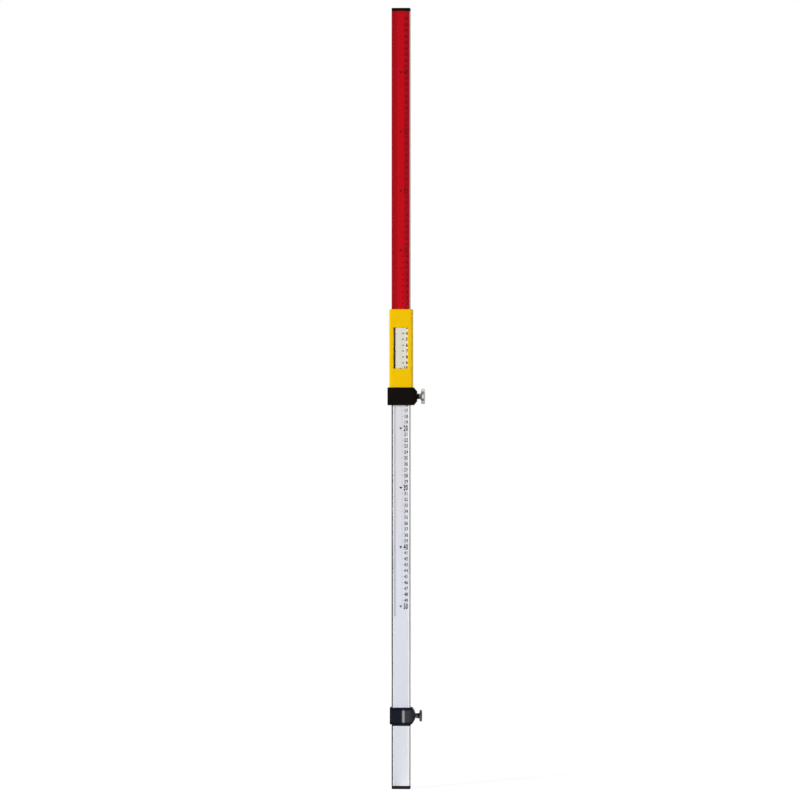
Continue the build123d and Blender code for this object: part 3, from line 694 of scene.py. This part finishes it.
def knurl_tree():
    """Straight knurl: grooves cut into the rim of a turned blank, with plain lands between them."""
    inputs = {"Level": "Float", "Teeth": "Float", "Depth": "Float", "Rim": "Float"}
    inputs |= {"Edge": "Float", "Land": "Float", "Material": "Material"}
    tree = GeometryTree("knurl", inputs)
    given = tree.given
    across, depth, rise, radius, turns = about_axis(tree)
    wave = abs((turns * given.output("Teeth")) % 1 * 2 - 1)
    groove = tree.ramp(wave, given.output("Land"), 1.0)
    foot = given.output("Rim") - given.output("Edge")
    at_rim = tree.ramp(radius, foot, given.output("Rim"))
    return draw_in(tree, 1 - given.output("Depth") * groove * at_rim / radius, across, depth, rise)


def thread_tree():
    """Right-handed screw thread cut into a turned blank."""
    inputs = {"Level": "Float", "Pitch": "Float", "Depth": "Float", "Crest": "Float"}
    inputs |= {"Material": "Material"}
    tree = GeometryTree("screw_thread", inputs)
    given = tree.given
    across, depth, rise, radius, turns = about_axis(tree)
    groove = 1 - abs((across / given.output("Pitch") - turns) % 1 * 2 - 1)
    at_crest = radius > given.output("Crest") - given.output("Depth")
    return draw_in(tree, 1 - given.output("Depth") * groove * at_crest / radius, across, depth, rise)


# Mesh helpers

def new_piece(name, mesh, body):
    """Finished piece that rides on a body."""
    piece = bpy.data.objects.new(name, mesh)
    bpy.context.scene.collection.objects.link(piece)
    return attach(piece, body)


def softened(outline, size, steps=4):
    """Outline with each inner corner rounded off."""
    points = [Vector(outline[0])]
    for before, corner, after in zip(outline, outline[1:], outline[2:]):
        corner = Vector(corner)
        arms = [Vector(before) - corner, Vector(after) - corner]
        ends = [corner + arm.normalized() * min(size, arm.length * ROUNDED_SHARE) for arm in arms]
        for step in range(steps + 1):
            part = step / steps
            points.append(ends[0].lerp(corner, part).lerp(corner.lerp(ends[1], part), part))
    return points + [Vector(outline[-1])]


def turned_blank(name, outline, level, segments):
    """Closed body turned about a line along X, from its outline of place and radius."""
    mesh = bpy.data.meshes.new(name)
    shape = bmesh.new()
    rings = []
    for across, radius in outline:
        if radius < POLE_RADIUS:
            rings.append([shape.verts.new((across, 0, level))])
            continue
        ring = []
        for step in range(segments):
            angle = math.tau * step / segments
            rise = radius * math.sin(angle)
            ring.append(shape.verts.new((across, radius * math.cos(angle), level + rise)))
        rings.append(ring)
    for first, second in zip(rings, rings[1:]):
        for step in range(segments):
            after = (step + 1) % segments
            if len(first) == 1:
                shape.faces.new((first[0], second[step], second[after]))
            elif len(second) == 1:
                shape.faces.new((first[step], second[0], first[after]))
            else:
                shape.faces.new((first[step], second[step], second[after], first[after]))
    bmesh.ops.recalc_face_normals(shape, faces=shape.faces)
    for face in shape.faces:
        face.smooth = True
    shape.to_mesh(mesh)
    shape.free()
    return mesh


def digit_set(name, height, squeeze, weight):
    """Collection of the ten digits as thin upright prisms that face the front."""
    digits = bpy.data.collections.new(name)
    sight = bpy.context.evaluated_depsgraph_get()
    scale = None
    for digit in range(10):
        text = bpy.data.curves.new(f"{name}_{digit}", "FONT")
        text.body = str(digit)
        text.align_x = "CENTER"
        text.resolution_u = GLYPH_RESOLUTION
        text.offset = weight
        text.extrude = GLYPH_HALF_DEPTH
        holder = bpy.data.objects.new(text.name, text)
        bpy.context.scene.collection.objects.link(holder)
        sight.update()
        mesh = bpy.data.meshes.new_from_object(holder.evaluated_get(sight))
        bpy.data.objects.remove(holder)
        if scale is None:
            foot = min(vertex.co.y for vertex in mesh.vertices)
            tall = max(vertex.co.y for vertex in mesh.vertices) - foot
            scale = height / tall
        thick = INK_PROUD + INK_SUNK
        for vertex in mesh.vertices:
            along, up, out = vertex.co
            vertex.co = (along * scale * squeeze, -out * thick, (up - foot) * scale - height / 2)
        shape = bmesh.new()
        shape.from_mesh(mesh)
        bmesh.ops.remove_doubles(shape, verts=shape.verts, dist=MERGE_DISTANCE)
        bmesh.ops.recalc_face_normals(shape, faces=shape.faces)
        shape.to_mesh(mesh)
        shape.free()
        digits.objects.link(bpy.data.objects.new(mesh.name, mesh))
    return digits


# Pieces

def clamp_knob(name, node, body, thickness, hub, flare, tree, material):
    """Knurled knob in place of its plain solid."""
    low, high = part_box(node)
    level = (low.z + high.z) / 2
    rim = high.y
    start = low.x
    end = high.x
    back = end - thickness
    dish = rim - KNOB_DISH_MARGIN
    outline = [(start + STUD_IN_KNOB, 0), (start + STUD_IN_KNOB, STUD_BORE), (start, STUD_BORE)]
    outline += [(start, hub), (start + FLARE_START * (back - start), hub), (back, hub + flare)]
    outline += [(back, rim - KNOB_EDGE), (back + KNOB_EDGE, rim), (end - KNOB_EDGE, rim)]
    outline += [(end, rim - KNOB_EDGE), (end, dish)]
    outline += [(end - KNOB_DISH_DEPTH, dish - KNOB_DISH_DEPTH), (end - KNOB_DISH_DEPTH, 0)]
    teeth = round(math.tau * rim / KNURL_PITCH)
    blank = turned_blank(name, softened(outline, KNOB_SOFTNESS), level, teeth * KNURL_STEPS)
    values = {"Level": level, "Teeth": float(teeth), "Depth": KNURL_DEPTH, "Rim": rim}
    values |= {"Edge": KNOB_EDGE, "Land": KNURL_LAND, "Material": material}
    mesh = tree.grow(name, values, blank)
    mesh.set_sharp_from_angle(angle=SHARP_ANGLE)
    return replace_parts(new_piece(name, mesh, body), node)


def clamp_stud(name, node, body, tree, material):
    """Threaded stud in place of its plain solid."""
    low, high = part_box(node)
    level = (low.z + high.z) / 2
    shoulder = low.x + STUD_POINT_LENGTH
    steps = round((high.x - shoulder) / THREAD_PITCH * THREAD_STEPS)
    outline = [(low.x, 0), (low.x, STUD_POINT_RADIUS), (shoulder, STUD_POINT_RADIUS)]
    for step in range(steps + 1):
        outline.append((shoulder + (high.x - shoulder) * step / steps, STUD_RADIUS))
    outline.append((high.x, 0))
    blank = turned_blank(name, [Vector(point) for point in outline], level, STUD_SEGMENTS)
    values = {"Level": level, "Pitch": THREAD_PITCH, "Depth": THREAD_DEPTH, "Crest": STUD_RADIUS}
    mesh = tree.grow(name, values | {"Material": material}, blank)
    mesh.set_sharp_from_angle(angle=SHARP_ANGLE)
    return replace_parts(new_piece(name, mesh, body), node)


def printed_scale(strip, zero, direction, last, trees, digits, inks):
    """Ticks, figures and pointers of one strip, as ink on its front."""
    ticks, figures, pointers = trees
    single_digits, double_digits, bold_digits = digits
    black, grey = inks
    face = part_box(strip)[0].y - (INK_PROUD - INK_SUNK) / 2
    thickness = INK_PROUD + INK_SUNK
    shared = {"Zero": zero, "Face": face}
    tens = last // DECADE
    name = strip.split("_")[0]
    made = {}

    values = shared | {"Count": round(SCALE_END / TICK_PITCH), "Pitch": direction * TICK_PITCH}
    values |= {"Start": TICK_START, "Length": TICK_LENGTH, "Half Length": HALF_TICK_LENGTH}
    values |= {"Whole Length": WHOLE_TICK_LENGTH, "Width": TICK_WIDTH}
    values |= {"Whole Width": WHOLE_TICK_WIDTH, "Thickness": thickness, "Material": grey}
    made["ticks"] = ticks.grow(f"{name}_ticks", values)

    values |= {"Count": DECADE - 1, "Pitch": direction * CENTIMETRE}
    values |= {"Start": DASH_START, "Length": DASH_LENGTH}
    values |= {"Half Length": DASH_LENGTH, "Width": DASH_WIDTH, "Material": black}
    made["dashes"] = ticks.grow(f"{name}_dashes", values)

    values = shared | {"Pitch": direction * CENTIMETRE, "Step": 1.0, "Keep Tens": 0.0}
    values |= {"Spacing": FIGURE_SPACING, "Material": black}
    singles = values | {"Digits": single_digits, "First": 1.0, "Count": DECADE - 1}
    singles |= {"Across": SINGLE_ACROSS}
    made["single_figures"] = figures.grow(f"{name}_single_figures", singles)
    doubles = values | {"Digits": double_digits, "First": DECADE + 1.0, "Count": last - DECADE}
    doubles |= {"Across": DOUBLE_ACROSS}
    made["double_figures"] = figures.grow(f"{name}_double_figures", doubles)

    values |= {"Digits": bold_digits, "First": float(DECADE), "Count": tens, "Step": float(DECADE)}
    values |= {"Keep Tens": 1.0, "Across": BOLD_ACROSS, "Spacing": BOLD_SPACING}
    made["bold_figures"] = figures.grow(f"{name}_bold_figures", values)

    values = shared | {"Count": tens, "Pitch": direction * DECADE * CENTIMETRE, "Across": POINTER_ACROSS}
    values |= {"Radius": POINTER_RADIUS, "Thickness": thickness}
    made["pointers"] = pointers.grow(f"{name}_pointers", values | {"Material": black})

    for kind, mesh in made.items():
        new_piece(f"{name}_{kind}", mesh, "graduated_bar")


# Studio

def light_path(graph):
    """1 for rays from the camera and for those that a mirror or glass sends on, else 0."""
    path = graph.node("ShaderNodeLightPath")
    seen = path.output("Is Camera Ray") + path.output("Is Glossy Ray")
    seen = seen + path.output("Is Transmission Ray")
    return graph.ramp(seen, 0.0, 1.0)


def white_surround(ambient):
    """World that looks white and lights the object softly."""
    world = bpy.data.worlds.new("white_surround")
    world.use_nodes = True
    world.cycles.sampling_method = "NONE"
    bpy.context.scene.world = world
    graph = Graph(world.node_tree)
    strength = ambient + (1 - ambient) * light_path(graph)
    sockets = {"Color": (1.0, 1.0, 1.0, 1.0), "Strength": strength}
    shader = graph.node("ShaderNodeBackground", sockets=sockets)
    graph.node("ShaderNodeOutputWorld", sockets={"Surface": shader})


def sheet(name, corners, faces, material):
    """Flat faces that belong to the studio."""
    mesh = bpy.data.meshes.new(name)
    mesh.from_pydata(corners, [], faces)
    mesh.materials.append(material)
    holder = bpy.data.objects.new(name, mesh)
    bpy.context.scene.collection.objects.link(holder)
    return holder


def level_square(left, right, front, back, height):
    """Corners of a level rectangle, counted so that it faces up."""
    return [(left, front, height), (right, front, height), (right, back, height), (left, back, height)]


def studio_floor():
    """Pale floor that looks white and keeps the staff's shadow."""
    finish = Finish("studio_floor")
    clouds = finish.grain(0.4)
    colour = finish.blend(clouds, paint(130, 130, 130), paint(134, 134, 134))
    reach = (finish.across ** 2.0 + finish.depth ** 2.0) ** 0.5
    far = finish.ramp(reach, *FLOOR_GLOW_RISE)
    near_glow = (FLOOR_NEAR_GLOW, FLOOR_NEAR_GLOW, FLOOR_NEAR_GLOW, 1)
    far_glow = (FLOOR_FAR_GLOW, FLOOR_FAR_GLOW, FLOOR_FAR_GLOW, 1)
    glow = finish.blend(far, near_glow, far_glow)
    glowing = finish.blend(light_path(finish), (0, 0, 0, 1), glow)
    others = {"Emission Color": glowing, "Emission Strength": 1.0, "Specular IOR Level": 0.0}
    material = finish.surface(colour, 0.9, clouds, relief=0.0001, others=others)
    side = FLOOR_HALF_SIDE
    sheet("floor", level_square(-side, side, -side, side, -FLOOR_DROP), [(0, 1, 2, 3)], material)


def reflected(finish, bright, corners, faces):
    """Part of the room that only shows in reflections, as bright as that value."""
    glow = finish.blend(bright, (0, 0, 0, 1), (1, 1, 1, 1))
    shader = finish.node("ShaderNodeEmission", sockets={"Color": glow})
    finish.node("ShaderNodeOutputMaterial", sockets={"Surface": shader})
    card = sheet(finish.material.name, corners, faces, finish.material)
    card.visible_camera = False
    card.visible_diffuse = False
    card.visible_shadow = False
    card.visible_transmission = False


def studio_room():
    """Floor and wall that only show in reflections: white in front, dark beside it and grey elsewhere."""
    finish = Finish("studio_room")
    settings = {"operation": "ARCTAN2"}
    sweep = finish.node("ShaderNodeMath", settings, {0: finish.across, 1: -1 * finish.depth})
    bearing = sweep * (180 / math.pi)
    front = finish.ramp(bearing, *LEFT_FADE) * (1 - ROOM_FLANK) * finish.ramp(bearing, *FLANK_FADE)
    flank = finish.ramp(bearing, *LEFT_FADE) * ROOM_FLANK
    right = finish.ramp(bearing, *RIGHT_FADE) * (ROOM_GREY - ROOM_FLANK)
    back = finish.ramp(bearing, *BACK_FADE) * ROOM_GREY
    left = finish.ramp(bearing, *LEFT_WALL_START) * finish.ramp(bearing, *LEFT_WALL_END) * ROOM_GREY
    radius = (finish.across ** 2.0 + finish.depth ** 2.0) ** 0.5
    foot = finish.ramp(radius, *FOOT_FADE) * ROOM_GREY
    wall = ROOM_DARK + front + flank + right + left + back
    bright = finish.node("ShaderNodeMath", {"operation": "MAXIMUM"}, {0: wall, 1: foot})
    rings = ((ROOM_NEAR, ROOM_RISE), (ROOM_REACH, ROOM_RISE), (ROOM_REACH, ROOM_HEIGHT))
    count = 360 // ROOM_STEP
    corners = []
    for reach, height in rings:
        for step in range(count):
            angle = math.radians(step * ROOM_STEP)
            corners.append((reach * math.sin(angle), -reach * math.cos(angle), height))
    faces = []
    for first in (0, count):
        for step in range(count):
            after = (step + 1) % count
            faces.append((first + step, first + after, first + after + count, first + step + count))
    reflected(finish, bright, corners, faces)


def grey_card(name, grey, corners):
    """Grey card that only shows in reflections."""
    finish = Finish(name)
    reflected(finish, grey + CARD_CLOUD_GREY * finish.grain(CARD_CLOUD_SIZE), corners, [(0, 1, 2, 3)])


def lamp(name, centre, target, width, height, power):
    """Soft box that faces a point."""
    light = bpy.data.lights.new(name, "AREA")
    light.shape = "RECTANGLE"
    light.size = width
    light.size_y = height
    light.energy = power
    holder = bpy.data.objects.new(name, light)
    holder.location = centre
    aim = Vector(target) - Vector(centre)
    holder.rotation_euler = aim.to_track_quat("-Z", "Y").to_euler()
    holder.visible_camera = False
    holder.visible_glossy = False
    bpy.context.scene.collection.objects.link(holder)


def photo_camera(face):
    """Long lens a little to the right of the staff's front, with the photograph's frame."""
    lens = bpy.data.cameras.new("photo_camera")
    lens.sensor_width = SENSOR
    lens.lens = SENSOR * CAMERA_DISTANCE / (PHOTO_SIDE * PIXEL)
    lens.clip_end = FARTHEST_SEEN
    camera = bpy.data.objects.new("photo_camera", lens)
    across = (PHOTO_SIDE / 2 - AXIS_COLUMN) * PIXEL
    level = (SOLE_ROW - PHOTO_SIDE / 2) * PIXEL
    right = Vector((math.cos(VIEW_TURN), math.sin(VIEW_TURN), 0))
    ahead = Vector((-math.sin(VIEW_TURN), math.cos(VIEW_TURN), 0))
    camera.location = right * across - ahead * (CAMERA_DISTANCE - face) + Vector((0, 0, level))
    camera.rotation_euler = (math.radians(90), 0, VIEW_TURN)
    bpy.context.scene.collection.objects.link(camera)
    bpy.context.scene.camera = camera


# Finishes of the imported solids, by their record's slots
upper_level = sum(corner.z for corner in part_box("upper_clamp_knob")) / 2
lower_level = sum(corner.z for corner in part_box("lower_clamp_knob")) / 2
neck_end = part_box("upper_clamp_knob")[0].x + UPPER_NECK_LENGTH
disc_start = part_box("upper_clamp_knob")[1].x - UPPER_KNOB_THICKNESS
lower_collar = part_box("lower_collar")
strips_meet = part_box("red_scale_strip")[0].z
finishes = {
    "anodised_aluminium": drawn_aluminium(strips_meet),
    "red_scale": red_print(),
    "silver_scale": silver_print(),
    "yellow_plastic": yellow_moulding(),
    "black_plastic": black_moulding(),
    "black_gloss_plastic": black_gloss_moulding(lower_collar[0].z, lower_collar[1].z),
    "glide_plastic": glide_plastic(),
    "nickel": nickel_plate(upper_level, neck_end, disc_start),
    "steel": small_hardware("screw_steel", paint(160, 160, 163), paint(186, 186, 190), 0.24),
    "brass": small_hardware("clamp_brass", paint(112, 88, 50), paint(136, 108, 64), 0.36),
}
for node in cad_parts.values():
    for holder in node.material_slots:
        holder.material = finishes[holder.material.name]
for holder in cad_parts["inner_rod"].material_slots:
    holder.material = satin_rod()

# Printed scales, both counted from where the strips meet
zero = strips_meet - PRINT_DROP
trees = (tick_tree(), figure_tree(), pointer_tree())
digits = (
    digit_set("single_digits", FIGURE_HEIGHT, SINGLE_SQUEEZE, SINGLE_WEIGHT),
    digit_set("double_digits", FIGURE_HEIGHT, DOUBLE_SQUEEZE, DOUBLE_WEIGHT),
    digit_set("bold_digits", BOLD_HEIGHT, BOLD_SQUEEZE, BOLD_WEIGHT),
)
red_inks = (
    scale_ink("red_figure_ink", paint(122, 10, 18), paint(106, 9, 16)),
    scale_ink("red_tick_ink", paint(150, 12, 22), paint(134, 11, 20)),
)
silver_inks = (
    scale_ink("black_ink", paint(34, 34, 40), paint(18, 18, 22)),
    scale_ink("grey_ink", paint(124, 126, 138), paint(104, 106, 118)),
)
printed_scale("red_scale_strip", zero, 1, RED_LAST_FIGURE, trees, digits, red_inks)
printed_scale("silver_scale_strip", zero, -1, SILVER_LAST_FIGURE, trees, digits, silver_inks)

# Clamp screws
knurl = knurl_tree()
thread = thread_tree()
lower_steel = turned_steel(lower_level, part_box("lower_clamp_knob")[0].x)
upper_knob = clamp_knob(
    "upper_knob", "upper_clamp_knob", "upper_screw", UPPER_KNOB_THICKNESS, UPPER_HUB_RADIUS,
    UPPER_HUB_FLARE, knurl, finishes["nickel"],
)
lower_knob = clamp_knob(
    "lower_knob", "lower_clamp_knob", "lower_screw", LOWER_KNOB_THICKNESS, LOWER_HUB_RADIUS,
    LOWER_HUB_FLARE, knurl, lower_steel,
)
upper_stud = clamp_stud("upper_stud", "upper_clamp_stud", "upper_screw", thread, finishes["steel"])
lower_stud = clamp_stud("lower_stud", "lower_clamp_stud", "lower_screw", thread, finishes["steel"])

# Studio
staff_middle = (0, 0, (cad_box[0].z + cad_box[1].z) / 2)
white_surround(AMBIENT)
studio_floor()
studio_room()
grey_card("ceiling", CEILING_GREY, level_square(*CEILING_SIDES))
grey_card("low_card", LOW_CARD_GREY, level_square(*LOW_CARD_SIDES))
for name, setting in LAMPS.items():
    lamp(name, target=staff_middle, **setting)
photo_camera(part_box("silver_scale_strip")[0].y)
bpy.context.scene.view_settings.view_transform = "Standard"
